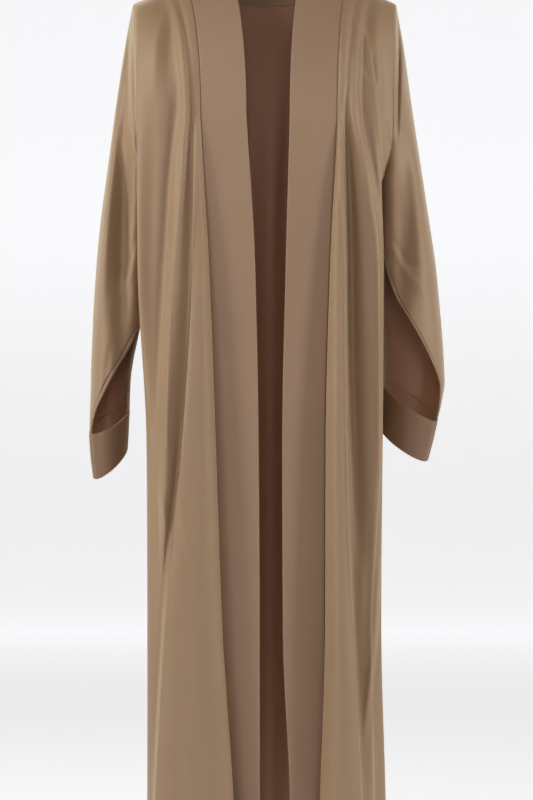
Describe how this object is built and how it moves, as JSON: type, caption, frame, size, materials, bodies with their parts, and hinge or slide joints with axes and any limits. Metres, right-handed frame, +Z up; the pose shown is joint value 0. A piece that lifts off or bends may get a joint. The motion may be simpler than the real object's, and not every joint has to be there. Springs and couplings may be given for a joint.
{
  "type": "abaya cloak",
  "caption": "Long open-front abaya cloak with wide plain front bands and slanted sleeve cut-outs above folded cuffs, hanging hollow as it is worn.",
  "frame": {"origin": "midway between the neck ends of the two shoulder seams, where the wearer's shoulders carry the cloak", "axes": "+Z up, -Y out of the front, +X towards the wearer's left"},
  "size_m": [0.53, 0.3124, 1.421],
  "materials": {
    "crepe": "smooth crepe with a soft sheen",
    "crepe_folded": "smooth crepe, folded double"
  },
  "bodies": {
    "root": {"back": "crepe", "front_right": "crepe", "front_left": "crepe", "sleeve_right": "crepe", "sleeve_left": "crepe", "band_right": "crepe_folded", "band_left": "crepe_folded", "neck_band": "crepe_folded", "cuff_right": "crepe_folded", "cuff_left": "crepe_folded"}
  },
  "joints": []
}
